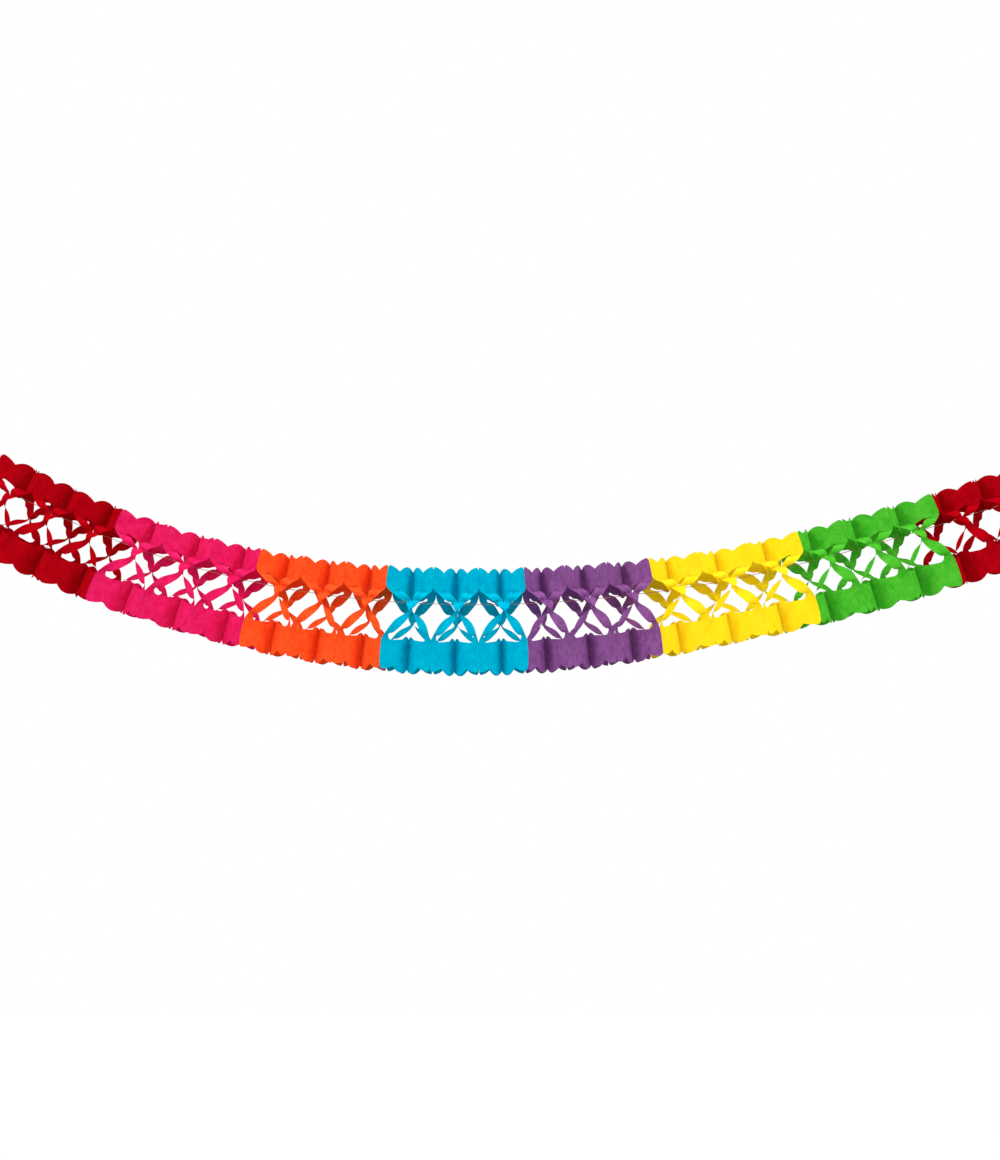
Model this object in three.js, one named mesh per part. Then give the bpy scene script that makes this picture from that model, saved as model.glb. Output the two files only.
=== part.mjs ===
// Paper garland: die-cut tissue sheets, glued to each other at alternate spots and strung on a thread.
// Every sheet has one shape. Its form is found by relaxing a flat sheet between the two mirror
// planes it is glued to: plane A holds its crease and its waists, plane B holds its corner lobes.
// Units are mm. X runs along the garland, -Y is the front and Z is up.
import * as THREE from 'three';

// Cut pattern of one flat sheet. u runs from the centre crease to a side edge, v down from the waist.
const HALF_DEPTH = 70; // crease to side edge
const BAND = 50.5; // paper above and below the opening
const OPENING_HALF = 55; // crease to the side of the opening
const OPENING_UP = 38; // waist to the opening's upper edge, at the crease
const OPENING_DOWN = 49; // waist to the opening's lower edge, at the crease
const OPENING_FLARE = [12, 4]; // how much taller the opening is at its sides, above and below
const FLARE_FROM = 8; // crease to where the opening grows taller
const OPENING_CORNER = 8; // corner radius of the opening
const WAIST = 8.5; // width of a side strip at its waist
const WAIST_INSET = 6; // waist's outer edge behind the side edge
const SHOULDER = 34; // waist to where a strip has its full width
const TAB = 4; // height of the two bumps beside the crease
const TAB_AT = 11; // middle of a bump from the crease
const SCALLOP = 5.2; // depth of the notch at the crease
const NOTCH_AT = 43; // crease to the notch between scallop and lobe
const NOTCH = 9.2; // depth of that notch
const LOBE_DROP = 2.8; // corner lobe short of the scallop
const LOBE_RISE = 0.9; // share of the lobe's width over which it rises
const LOBE_CORNER = 4; // corner radius of the lobe
const PAPER = 0.25; // tissue, thickened so that it is a solid
const GLUE_GAP = 0.3; // left open between two glued sheets

// Glue spots and the pull on the sheet. A pair is for the upper and the lower half.
const WAIST_GLUE = [10, 3.6]; // glued height of a waist
const WAIST_RAISED = 7.5; // waist above the garland's axis
const WAIST_AT = 54; // inner edge of a waist from the crease
const SPLAY = [85, 20]; // degrees that a waist turns out, at its upper and at its lower end
const SPLAY_OVER = [-7, 2]; // between these heights on the flat sheet
const LOBE_GLUE = [[34, 46], [2, 38]]; // glued height on a lobe, from the opening's edge
const FREE_CREASE = 12; // unglued outer end of the crease
const BAND_AT = [26.5, 29.5]; // opening's edges from the garland's axis, at the crease
const PLAN_BOW = 1.8; // how far the paper is bowed in plan before it is relaxed
const CREASE_LEAST = 0.3; // least slope of the paper away from a crease
const CREASE_REACH = 18; // over this width
const CREASE_MOST = 0.35; // its slope is no more than this at the crease
const CREASE_GROWS = 0.01; // and grows so much with each mm
const CREASE_HOLDS = 25; // over this width
const LEAF_OPENS = 0.45; // least slope with which two strips part above their waist
const LEAF_REACH = 22; // over this height

// The garland.
const PITCH = 68; // two sheets, as the form is relaxed
const REPEATS = 3; // pitches to a colour
// A section's pitch, and its height against the relaxed form: less where it is pulled out more.
const SECTIONS = [
  { name: 'left_red', color: 0xb0101c, pitch: 69.5, height: 0.95 },
  { name: 'pink', color: 0xdc1464, pitch: 74.5, height: 0.94 },
  { name: 'orange', color: 0xf4501e, pitch: 65.5, height: 0.98 },
  { name: 'blue', color: 0x009cc0, pitch: 68, height: 1.01 },
  { name: 'purple', color: 0x74407c, pitch: 63, height: 0.98 },
  { name: 'yellow', color: 0xf6d800, pitch: 76, height: 0.9 },
  { name: 'green', color: 0x40c030, pitch: 70, height: 0.93 },
  { name: 'right_red', color: 0xb0101c, pitch: 66, height: 0.93 },
];
const MIDDLE_BORDER = 4; // the border next to the lowest point
const LOWEST_TO_BORDER = 75; // along the garland
const HALF_SPAN = 750; // over which the sag is given
const SAG = 166; // of the axis over the half span
const SAG_SKEW = 0.177; // share by which the left side rises more, and the right side less
const BORDER_CURL = 2; // how far a section's end lobes curl over the next colour
const TURN = 25; // degrees that a waist is turned in plan
const TURN_FROM = 41; // along the garland, where the turn changes sides
const TURN_WITHIN = 55; // the turn is full so far from there
const TURN_HEIGHT = 45; // height over which a turn dies out
const WAIST_LIFT = 6; // front waists are so much higher, and back waists lower
const WAIST_LEAN = 4; // front waists are so far to the right
const FRONT_LEAN = 2.2; // and all of the front edge besides

// The thread.
const THREAD_RADIUS = 0.45;
const THREAD_SIDES = 8;
const THREAD_GAP = 0.35; // below the crease that rests on it
const THREAD_LEAD = 70; // last sheet to loop
const LOOP_RADIUS = 7;

// Relaxation of the paper.
const CELL = 3.5;
const STEPS = 2500;
const STIFFNESS = 0.01;
const DAMPING = 0.9;

const clamp = (value, low, high) => Math.min(high, Math.max(low, value));
const half = (v, pair) => (v < 0 ? pair[0] : pair[1]);
const opening = (v) => half(v, [OPENING_UP, OPENING_DOWN]);

// How much the opening's edge has gone up on its way from the crease to the side.
function flare(u, v) {
  const t = clamp((u - FLARE_FROM) / (OPENING_HALF - OPENING_CORNER - FLARE_FROM), 0, 1);
  return (half(v, OPENING_FLARE) * (t + t * t * (3 - 2 * t))) / 2;
}

// The opening's edge, over its height at the crease: two bumps beside the thread, flare and corner.
function innerEdge(u, v) {
  const off = (u - TAB_AT) / TAB_AT;
  const corner = clamp(u - OPENING_HALF + OPENING_CORNER, 0, OPENING_CORNER);
  const tab = TAB * Math.max(0, 1 - off * off);
  return flare(u, v) - tab - OPENING_CORNER + Math.sqrt(OPENING_CORNER ** 2 - corner ** 2);
}

// The scalloped outer edge, over the opening's height at the crease.
function outerEdge(u) {
  if (u < NOTCH_AT) {
    const off = Math.abs(u / (NOTCH_AT / 2) - 1);
    return BAND - (u > NOTCH_AT / 2 ? NOTCH : SCALLOP) * off ** 2.2;
  }
  const rise = clamp((u - NOTCH_AT) / (HALF_DEPTH - NOTCH_AT) / LOBE_RISE, 0, 1);
  const lobe = BAND - NOTCH + (NOTCH - LOBE_DROP) * Math.sin((rise * Math.PI) / 2) ** 0.8;
  const corner = clamp(u - HALF_DEPTH + LOBE_CORNER, 0, LOBE_CORNER);
  return lobe - LOBE_CORNER + Math.sqrt(LOBE_CORNER ** 2 - corner ** 2);
}

// Inner and outer edge of a side strip.
function stripEdges(v) {
  const waisted = (1 + Math.cos(Math.PI * clamp(Math.abs(v) / SHOULDER, 0, 1))) / 2;
  const inner = HALF_DEPTH - WAIST_INSET - WAIST;
  return [OPENING_HALF + (inner - OPENING_HALF) * waisted, HALF_DEPTH - WAIST_INSET * waisted];
}

// Whether a point of the flat sheet is paper.
function isPaper(u, v) {
  const above = Math.abs(v) - opening(v);
  const [inner, outer] = stripEdges(v);
  if (above >= half(v, OPENING_FLARE) - OPENING_CORNER) {
    return above >= innerEdge(u, v) && above <= outerEdge(u) && u <= outer;
  }
  return u < inner ? above >= innerEdge(u, v) : u <= outer;
}

// The front half of a sheet on a square lattice, relaxed until the paper keeps its lengths.
function relaxSheet() {
  const top = OPENING_UP + BAND;
  const bottom = OPENING_DOWN + BAND;
  const columns = Math.round(HALF_DEPTH / CELL) + 1;
  const rows = Math.round((top + bottom) / CELL) + 1;
  const du = HALF_DEPTH / (columns - 1);
  const dv = (top + bottom) / (rows - 1);
  const at = (i, j) => i * rows + j;
  const depth = plan();
  const place = [];
  const kept = [];
  const shifts = [-0.5, 0, 0.5];
  for (let i = 0; i < columns; i += 1) {
    for (let j = 0; j < rows; j += 1) {
      const [u, v] = [i * du, j * dv - top];
      place.push(firstGuess(u, v, depth(u)));
      kept.push(shifts.some((a) => shifts.some((b) => isPaper(
        clamp(u + a * du, 0, HALF_DEPTH), clamp(v + b * dv, -top, bottom)))));
    }
  }
  const links = [];
  const folds = [];
  for (const [a, b] of [[1, 0], [0, 1], [1, 1], [1, -1]]) {
    for (let i = 0; i < columns; i += 1) {
      for (let j = 0; j < rows; j += 1) {
        const [i1, j1, i0, j0] = [i + a, j + b, i - a, j - b];
        const next = i1 < columns && j1 >= 0 && j1 < rows;
        const last = i0 >= 0 && j0 >= 0 && j0 < rows;
        if (!next || !kept[at(i, j)] || !kept[at(i1, j1)]) continue;
        links.push([at(i, j), at(i1, j1), Math.hypot(a * du, b * dv)]);
        if (last && kept[at(i0, j0)]) folds.push([at(i0, j0), at(i, j), at(i1, j1)]);
      }
    }
  }
  const holds = [];
  for (let i = 0; i < columns; i += 1) {
    for (let j = 0; j < rows; j += 1) {
      const k = at(i, j);
      if (kept[k]) holds.push({ k, ...hold(i * du, j * dv - top, place[k].z, du) });
    }
  }
  const speed = place.map(() => new THREE.Vector3());
  const before = place.map((p) => p.clone());
  for (let step = 0; step < STEPS; step += 1) {
    place.forEach((p, k) => {
      before[k].copy(p);
      p.addScaledVector(speed[k], DAMPING);
    });
    folds.forEach(([a, b, c]) => unfold(place[a], place[b], place[c]));
    links.forEach(([a, b, length]) => keepLength(place[a], place[b], length));
    holds.forEach(({ k, least, most, x, y, z }) => {
      place[k].x = x ?? clamp(place[k].x, least, most);
      place[k].y = y ?? Math.min(0, place[k].y);
      place[k].z = z ?? place[k].z;
    });
    place.forEach((p, k) => speed[k].subVectors(p, before[k]));
  }
  return { place, kept, columns, rows, du, dv, top, at };
}

// How far in front of the crease the paper is, where it starts out bowed in plan.
function plan() {
  const steps = 400;
  const depths = [0];
  for (let k = 1; k <= steps; k += 1) {
    const slope = (PITCH / 2 / HALF_DEPTH) * PLAN_BOW * (k / steps) ** (PLAN_BOW - 1);
    depths.push(depths[k - 1] + (Math.sqrt(clamp(1 - slope * slope, 0.02, 1)) * HALF_DEPTH) / steps);
  }
  return (u) => depths[Math.round((u / HALF_DEPTH) * steps)];
}

// Where the paper starts before it is relaxed: upright bands, and strips that run to the waist.
function firstGuess(u, v, depth) {
  const side = v < 0 ? 1 : -1;
  const up = Math.abs(v);
  const edge = opening(v);
  const glue = half(v, WAIST_GLUE);
  const strip = u > OPENING_HALF - CELL;
  const sideEdge = edge + half(v, OPENING_FLARE);
  const share = strip ? clamp((up - glue) / (sideEdge - glue), 0, 1) : 1;
  const x = (PITCH / 2) * (u / HALF_DEPTH) ** PLAN_BOW * share;
  const y = -depth * share - (1 - share) * (WAIST_AT + (u - OPENING_HALF) / 2);
  const plate = side * (half(v, BAND_AT) + up - edge);
  const join = sideEdge + 8;
  const climb = clamp((up - glue) / (join - glue), 0, 1);
  const waist = WAIST_RAISED + side * Math.min(up, glue);
  const end = side * (half(v, BAND_AT) + join - edge);
  const run = up > join ? plate : waist + (end - WAIST_RAISED - side * glue) * climb;
  const blend = clamp((u - 37) / (OPENING_HALF - 37), 0, 1);
  const near = up < edge + innerEdge(u, v) ? Number(strip) : blend;
  return new THREE.Vector3(x, y, plate + (run - plate) * near);
}

// The coordinates that glue and symmetry hold, and the bounds of x where the paper is free.
function hold(u, v, startZ, du) {
  const above = Math.abs(v) - opening(v);
  let least = u < OPENING_HALF - 15 ? CREASE_LEAST * Math.min(u, CREASE_REACH) : 0;
  const part = LEAF_OPENS * clamp(-v - WAIST_GLUE[0], 0, LEAF_REACH);
  if (u > OPENING_HALF - CELL && v < 0) least = Math.max(least, part);
  const nearCrease = u < CREASE_HOLDS && above > -CELL;
  const steep = nearCrease ? u * (CREASE_MOST + CREASE_GROWS * u) : PITCH / 2;
  const most = Math.max(least, Math.min(PITCH / 2, steep));
  if (u === 0) {
    return { least, most, x: above < BAND - FREE_CREASE ? 0 : undefined, y: 0, z: startZ };
  }
  if (v >= -WAIST_GLUE[0] && v <= WAIST_GLUE[1] && u > OPENING_HALF - 3 - CELL) {
    const turned = clamp((v - SPLAY_OVER[0]) / (SPLAY_OVER[1] - SPLAY_OVER[0]), 0, 1);
    const splay = ((SPLAY[0] + (SPLAY[1] - SPLAY[0]) * turned) * Math.PI) / 180;
    const out = u - (HALF_DEPTH - WAIST_INSET - WAIST);
    return { x: out * Math.sin(splay), y: -WAIST_AT - out * Math.cos(splay), z: WAIST_RAISED - v };
  }
  const reach = half(v, LOBE_GLUE);
  const glued = u > HALF_DEPTH - du / 2 && above > reach[0] && above < reach[1];
  return { least, most, x: glued ? PITCH / 2 : undefined };
}

function unfold(a, b, c) {
  for (const axis of ['x', 'y', 'z']) {
    const bend = ((a[axis] + c[axis]) / 2 - b[axis]) * STIFFNESS;
    b[axis] += bend;
    a[axis] -= bend / 2;
    c[axis] -= bend / 2;
  }
}

function keepLength(a, b, length) {
  const [x, y, z] = [b.x - a.x, b.y - a.y, b.z - a.z];
  const now = Math.hypot(x, y, z);
  const part = (now - length) / now / 2;
  a.set(a.x + x * part, a.y + y * part, a.z + z * part);
  b.set(b.x - x * part, b.y - y * part, b.z - z * part);
}

// A point of the relaxed paper, carried on past the lattice's kept nodes in a straight line.
function onSheet(form, u, v) {
  const i = Math.min(form.columns - 2, Math.floor(u / form.du));
  const j = Math.min(form.rows - 2, Math.max(0, Math.floor((v + form.top) / form.dv)));
  const [s, t] = [u / form.du - i, (v + form.top) / form.dv - j];
  const point = new THREE.Vector3();
  point.addScaledVector(nodeOf(form, i, j), (1 - s) * (1 - t));
  point.addScaledVector(nodeOf(form, i + 1, j), s * (1 - t));
  point.addScaledVector(nodeOf(form, i, j + 1), (1 - s) * t);
  return point.addScaledVector(nodeOf(form, i + 1, j + 1), s * t);
}

function nodeOf(form, i, j) {
  const inside = (a, b) => a >= 0 && a < form.columns && b >= 0 && b < form.rows && form.kept[form.at(a, b)];
  if (inside(i, j)) return form.place[form.at(i, j)];
  for (const [a, b] of [[0, 1], [0, -1], [1, 0], [-1, 0], [1, 1], [1, -1], [-1, 1], [-1, -1]]) {
    if (inside(i + a, j + b) && inside(i + 2 * a, j + 2 * b)) {
      const near = form.place[form.at(i + a, j + b)];
      return near.clone().multiplyScalar(2).sub(form.place[form.at(i + 2 * a, j + 2 * b)]);
    }
  }
  return form.place[form.at(i, j)];
}

// The flat outline of the front half on one side of the waist, as an outer and an inner chain.
function chains(side) {
  const edge = half(side, [OPENING_UP, OPENING_DOWN]);
  const level = half(side, OPENING_FLARE) - OPENING_CORNER;
  const lobe = (NOTCH_AT + HALF_DEPTH) / 2 + 2;
  const on = (u, above) => [u, side * (edge + above)];
  const strip = (up, which) => [stripEdges(up)[which], side * up];
  const outer = [
    on(0, outerEdge(0)),
    on(NOTCH_AT * 0.3, outerEdge(NOTCH_AT * 0.3)),
    on(NOTCH_AT * 0.7, outerEdge(NOTCH_AT * 0.7)),
    on(NOTCH_AT, outerEdge(NOTCH_AT)),
    on(lobe, outerEdge(lobe)),
    on(HALF_DEPTH - 0.5, outerEdge(HALF_DEPTH - 0.5)),
    on(HALF_DEPTH, half(side, LOBE_GLUE)[0] - 6),
    strip(SHOULDER * 0.55, 1),
  ];
  const inner = [
    on(0, innerEdge(0, side)),
    on(TAB_AT, innerEdge(TAB_AT, side)),
    on(2 * TAB_AT, innerEdge(2 * TAB_AT, side)),
    on(OPENING_HALF - OPENING_CORNER, innerEdge(OPENING_HALF - OPENING_CORNER, side)),
    on(OPENING_HALF, level),
  ];
  // the strip bends once over the waist's glue, and twice below it
  const bends = half(side, [[0.3], [0.7, 0.3]]).map((share) => strip(SHOULDER * share, 0));
  return { outer: [...outer, strip(0, 1)], inner: [...inner, ...bends, strip(0, 0)] };
}

// Triangles between two chains, always over the shorter diagonal.
function bridge(outer, inner, flat) {
  const faces = [];
  const gap = (a, b) => Math.hypot(flat[a][0] - flat[b][0], flat[a][1] - flat[b][1]);
  let [i, j] = [0, 0];
  while (i < outer.length - 1 || j < inner.length - 1) {
    const along = i < outer.length - 1 ? gap(outer[i + 1], inner[j]) : Infinity;
    const across = j < inner.length - 1 ? gap(outer[i], inner[j + 1]) : Infinity;
    if (along <= across) {
      faces.push([outer[i], inner[j], outer[i + 1]]);
      i += 1;
    } else {
      faces.push([outer[i], inner[j], inner[j + 1]]);
      j += 1;
    }
  }
  return faces;
}

// The flat net of a whole sheet: points with their side of the crease, faces, and the paper's edges.
function sheetNet() {
  const flat = [];
  const index = new Map();
  const pointAt = ([u, v], front) => {
    const key = `${u.toFixed(3)} ${v.toFixed(3)} ${u === 0 ? 0 : front}`;
    if (!index.has(key)) {
      index.set(key, flat.length);
      flat.push([u, v, front]);
    }
    return index.get(key);
  };
  const faces = [];
  for (const front of [1, -1]) {
    for (const side of [-1, 1]) {
      const { outer, inner } = chains(side);
      const part = bridge(outer.map((p) => pointAt(p, front)), inner.map((p) => pointAt(p, front)), flat);
      part.forEach(([a, b, c]) => faces.push(front * side > 0 ? [a, b, c] : [a, c, b]));
    }
  }
  const seen = new Set(faces.flatMap(([a, b, c]) => [`${a} ${b}`, `${b} ${c}`, `${c} ${a}`]));
  const edges = [...seen].map((key) => key.split(' ').map(Number)).filter(([a, b]) => !seen.has(`${b} ${a}`));
  return { flat, faces, edges };
}

// The axis of the garland by its own length: place and direction in the XZ plane.
function hangingAxis() {
  const step = 2;
  const height = (x) => SAG * (x / HALF_SPAN) ** 2 * (1 - (SAG_SKEW * x) / HALF_SPAN);
  const slope = (x) => (SAG * x * (2 - (3 * SAG_SKEW * x) / HALF_SPAN)) / HALF_SPAN ** 2;
  const table = (sign) => {
    const lengths = [0];
    for (let k = 1; k < 800; k += 1) {
      const rise = height(sign * k * step) - height(sign * (k - 1) * step);
      lengths.push(lengths[k - 1] + Math.hypot(step, rise));
    }
    return lengths;
  };
  const tables = [table(-1), table(1)];
  return (s) => {
    const lengths = half(s, tables);
    const k = lengths.findIndex((length) => length >= Math.abs(s));
    const t = k > 0 ? (Math.abs(s) - lengths[k - 1]) / (lengths[k] - lengths[k - 1]) : 1;
    const x = Math.sign(s) * (k - 1 + t) * step;
    const direction = new THREE.Vector3(1, 0, slope(x)).normalize();
    const up = new THREE.Vector3(-direction.z, 0, direction.x);
    return { origin: new THREE.Vector3(x, 0, height(x)), direction, up };
  };
}

// Where the sections begin and end along the garland, and where the creases are.
function layOut() {
  const lengths = SECTIONS.map(({ pitch }) => pitch * REPEATS);
  let s = LOWEST_TO_BORDER - lengths.slice(0, MIDDLE_BORDER).reduce((a, b) => a + b, 0);
  const starts = [];
  const cells = [];
  for (const { pitch } of SECTIONS) {
    starts.push(s);
    for (let k = 0; k < REPEATS; k += 1) cells.push({ crease: s + pitch * (k + 0.5), pitch });
    s += pitch * REPEATS;
  }
  const middles = starts.map((start, k) => start + lengths[k] / 2);
  return { ends: [starts[0], s], borders: starts.slice(1), cells, middles };
}

// A section's height, blended into the next section's.
function heightAt(s, middles) {
  const next = middles.findIndex((middle) => middle > s);
  if (next === 0) return SECTIONS[0].height;
  if (next < 0) return SECTIONS[SECTIONS.length - 1].height;
  const t = (s - middles[next - 1]) / (middles[next] - middles[next - 1]);
  return SECTIONS[next - 1].height * (1 - t) + SECTIONS[next].height * t;
}

// From the straight garland to the hanging one. Each waist is turned in plan, towards the lowest
// point, and lifted in front. The end lobes of a section curl outwards over the next colour.
function hang(axis, { borders, cells, middles }, s, y, z) {
  const cell = cells.find(({ crease, pitch }) => Math.abs(s - crease) < pitch / 2);
  const ahead = y < 0 ? 1 : -1;
  const level = Math.max(0, 1 - ((z - WAIST_RAISED) / TURN_HEIGHT) ** 2) ** 2;
  const ramp = clamp((Math.abs(y) - 15) / 20, 0, 1);
  const near = level * ramp * ramp * (3 - 2 * ramp);
  let [along, depth] = [s, Math.abs(y)];
  if (cell) {
    const beside = 1 - ((s - cell.crease) / (cell.pitch / 2)) ** 2;
    const most = TURN * clamp((TURN_FROM - cell.crease) / TURN_WITHIN, -1, 1);
    const turn = (most * Math.PI * beside ** 2 * near) / 180;
    const [across, out] = [s - cell.crease, depth - WAIST_AT - WAIST / 2];
    along = cell.crease + across * Math.cos(turn) - out * Math.sin(turn);
    depth += across * Math.sin(turn) + out * (Math.cos(turn) - 1);
  }
  if (ahead > 0) along += WAIST_LEAN * near + FRONT_LEAN * (y / HALF_DEPTH) ** 2;
  for (const border of borders) {
    const close = Math.max(0, 1 - ((s - border) / PITCH) ** 2 * 3);
    const lobe = clamp((Math.abs(y) - 35) / 25, 0, 1);
    const outer = Math.max(0, 1 - ((Math.abs(z) - 48) / 32) ** 2);
    along += Math.sign(border) * BORDER_CURL * close * close * lobe * outer;
  }
  const { origin, direction, up } = axis(s);
  const tall = (z + ahead * WAIST_LIFT * near) * heightAt(s, middles);
  const place = origin.addScaledVector(direction, along - s).addScaledVector(up, tall);
  return place.setY(-ahead * depth);
}

// A closed solid from one layer of points: two faces of paper and the cut edge between them.
function thicken(points, faces, edges) {
  const normals = points.map(() => new THREE.Vector3());
  const cross = new THREE.Vector3();
  for (const [a, b, c] of faces) {
    cross.subVectors(points[b], points[a]).cross(points[c].clone().sub(points[a]));
    [a, b, c].forEach((k) => normals[k].add(cross));
  }
  normals.forEach((normal) => normal.setLength(PAPER / 2));
  const offset = (sign) => points.map((p, k) => p.clone().addScaledVector(normals[k], sign));
  const n = points.length;
  const triangles = [
    ...faces.map(([a, b, c]) => [a, b, c]),
    ...faces.map(([a, b, c]) => [a + n, c + n, b + n]),
    ...edges.flatMap(([a, b]) => [[b, a, a + n], [b, a + n, b + n]]),
  ];
  const geometry = new THREE.BufferGeometry().setFromPoints([...offset(1), ...offset(-1)]);
  geometry.setIndex(triangles.flat());
  const plain = geometry.toNonIndexed();
  plain.computeVertexNormals();
  return plain;
}

function sheet(form, net, warp, { crease, pitch }, mirrored) {
  const clear = (PAPER + GLUE_GAP) / 2;
  const points = net.flat.map(([u, v, front]) => {
    const p = onSheet(form, u, v);
    const share = clamp(p.x / (PITCH / 2), 0, 1);
    const along = clear + (pitch / 2 - 2 * clear) * share;
    return warp(crease + (mirrored ? -along : along), p.y * front, p.z);
  });
  const faces = mirrored ? net.faces.map(([a, b, c]) => [a, c, b]) : net.faces;
  const edges = mirrored ? net.edges.map(([a, b]) => [b, a]) : net.edges;
  return thicken(points, faces, edges);
}

// The thread runs in the notches under the creases and ends in a loop on either side.
function threadPath(warp, { cells, ends }) {
  const z = BAND_AT[0] - THREAD_GAP - THREAD_RADIUS;
  const turns = [0, 40, 80, 120, 160, 200, 240, 280, 318];
  const loop = (end, sign) => turns.map((degrees) => {
    const angle = (degrees * Math.PI) / 180;
    const s = end + sign * (THREAD_LEAD + LOOP_RADIUS * (1 - Math.cos(angle)));
    return warp(s, 0, z + LOOP_RADIUS * Math.sin(angle));
  });
  const creases = cells.map(({ crease }) => warp(crease, 0, z));
  return [...loop(ends[0], -1).reverse(), ...creases, ...loop(ends[1], 1)];
}

// The origin is the middle of the left loop, where a hook goes through.
function loopMiddle(warp, { ends }) {
  return warp(ends[0] - THREAD_LEAD - LOOP_RADIUS, 0, BAND_AT[0] - THREAD_GAP - THREAD_RADIUS);
}

function threadSolid(path) {
  const curve = new THREE.CatmullRomCurve3(path);
  // one step from each point of the path to the next, whatever their distance
  curve.getUtoTmapping = (share) => share;
  const corners = Array.from({ length: THREAD_SIDES }, (_, k) => {
    const angle = (k * 2 * Math.PI) / THREAD_SIDES;
    return new THREE.Vector2(THREAD_RADIUS * Math.cos(angle), THREAD_RADIUS * Math.sin(angle));
  });
  const along = { steps: path.length - 1, extrudePath: curve };
  return new THREE.ExtrudeGeometry(new THREE.Shape(corners), along);
}

function build() {
  const garland = new THREE.Group();
  const form = relaxSheet();
  const net = sheetNet();
  const axis = hangingAxis();
  const layout = layOut();
  const warp = (s, y, z) => hang(axis, layout, s, y, z);
  const add = (name, geometry, color) => {
    const mesh = new THREE.Mesh(geometry, new THREE.MeshStandardMaterial({ color, roughness: 0.9 }));
    mesh.name = name;
    garland.add(mesh);
  };
  layout.cells.forEach((cell, k) => {
    const { name, color } = SECTIONS[Math.floor(k / REPEATS)];
    const number = 2 * (k % REPEATS) + 1;
    add(`${name}_sheet_${number}`, sheet(form, net, warp, cell, true), color);
    add(`${name}_sheet_${number + 1}`, sheet(form, net, warp, cell, false), color);
  });
  add('hanging_thread', threadSolid(threadPath(warp, layout)), 0xd8b0a0);
  const home = loopMiddle(warp, layout);
  garland.children.forEach((mesh) => mesh.geometry.translate(-home.x, -home.y, -home.z));
  return garland;
}

export default build();
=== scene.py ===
"""Paper garland: 48 die-cut tissue sheets in eight colours on one cotton thread.

Every sheet has the same cut. Its form is found by relaxing a flat sheet between the two mirror
planes that it is glued to, as in the part's source, on the same lattice and with the same sizes.
A dense mesh of the sheet is read from that lattice, mirrored and hung along the garland.
Lengths are in mm until a mesh is made, which is in metres.
"""
import math

import bpy
import numpy as np
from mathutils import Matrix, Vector


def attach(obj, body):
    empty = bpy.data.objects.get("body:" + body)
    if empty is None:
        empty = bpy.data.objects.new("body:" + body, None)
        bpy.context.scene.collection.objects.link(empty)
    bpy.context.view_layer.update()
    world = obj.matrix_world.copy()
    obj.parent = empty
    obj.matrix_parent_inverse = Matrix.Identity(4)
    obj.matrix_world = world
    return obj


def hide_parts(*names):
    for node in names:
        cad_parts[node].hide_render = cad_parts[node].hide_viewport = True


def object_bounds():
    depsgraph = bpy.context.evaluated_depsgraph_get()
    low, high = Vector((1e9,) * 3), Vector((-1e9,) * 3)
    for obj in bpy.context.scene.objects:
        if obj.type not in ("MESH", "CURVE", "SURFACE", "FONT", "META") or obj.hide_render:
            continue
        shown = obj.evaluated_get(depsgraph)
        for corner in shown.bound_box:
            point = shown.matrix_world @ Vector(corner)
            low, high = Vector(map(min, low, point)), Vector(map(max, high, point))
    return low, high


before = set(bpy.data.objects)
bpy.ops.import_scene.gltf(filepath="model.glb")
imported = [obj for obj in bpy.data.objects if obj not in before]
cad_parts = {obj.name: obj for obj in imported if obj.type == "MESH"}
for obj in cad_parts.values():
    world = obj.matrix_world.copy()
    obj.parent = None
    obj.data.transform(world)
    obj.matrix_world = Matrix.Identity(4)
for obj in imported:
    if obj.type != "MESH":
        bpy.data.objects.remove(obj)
CAD_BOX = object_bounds()

# Cut pattern of one flat sheet: u from the centre crease to a side edge, v down from the waist.
HALF_DEPTH = 70.0  # crease to side edge
BAND = 50.5  # paper above and below the opening
OPENING_HALF = 55.0  # crease to the side of the opening
OPENING_UP = 38.0  # waist to the opening's upper edge, at the crease
OPENING_DOWN = 49.0  # waist to the opening's lower edge, at the crease
OPENING_FLARE = (12.0, 4.0)  # how much taller the opening is at its sides, above and below
FLARE_FROM = 8.0  # crease to where the opening grows taller
OPENING_CORNER = 8.0  # corner radius of the opening
WAIST = 8.5  # width of a side strip at its waist
WAIST_INSET = 6.0  # waist's outer edge behind the side edge
SHOULDER = 34.0  # waist to where a strip has its full width
TAB = 4.0  # height of the two bumps beside the crease
TAB_AT = 11.0  # middle of a bump from the crease
SCALLOP = 5.2  # depth of the notch at the crease
NOTCH_AT = 43.0  # crease to the notch between scallop and lobe
NOTCH = 9.2  # depth of that notch
LOBE_DROP = 2.8  # corner lobe short of the scallop
LOBE_RISE = 0.9  # share of the lobe's width over which it rises
LOBE_CORNER = 4.0  # corner radius of the lobe

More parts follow.
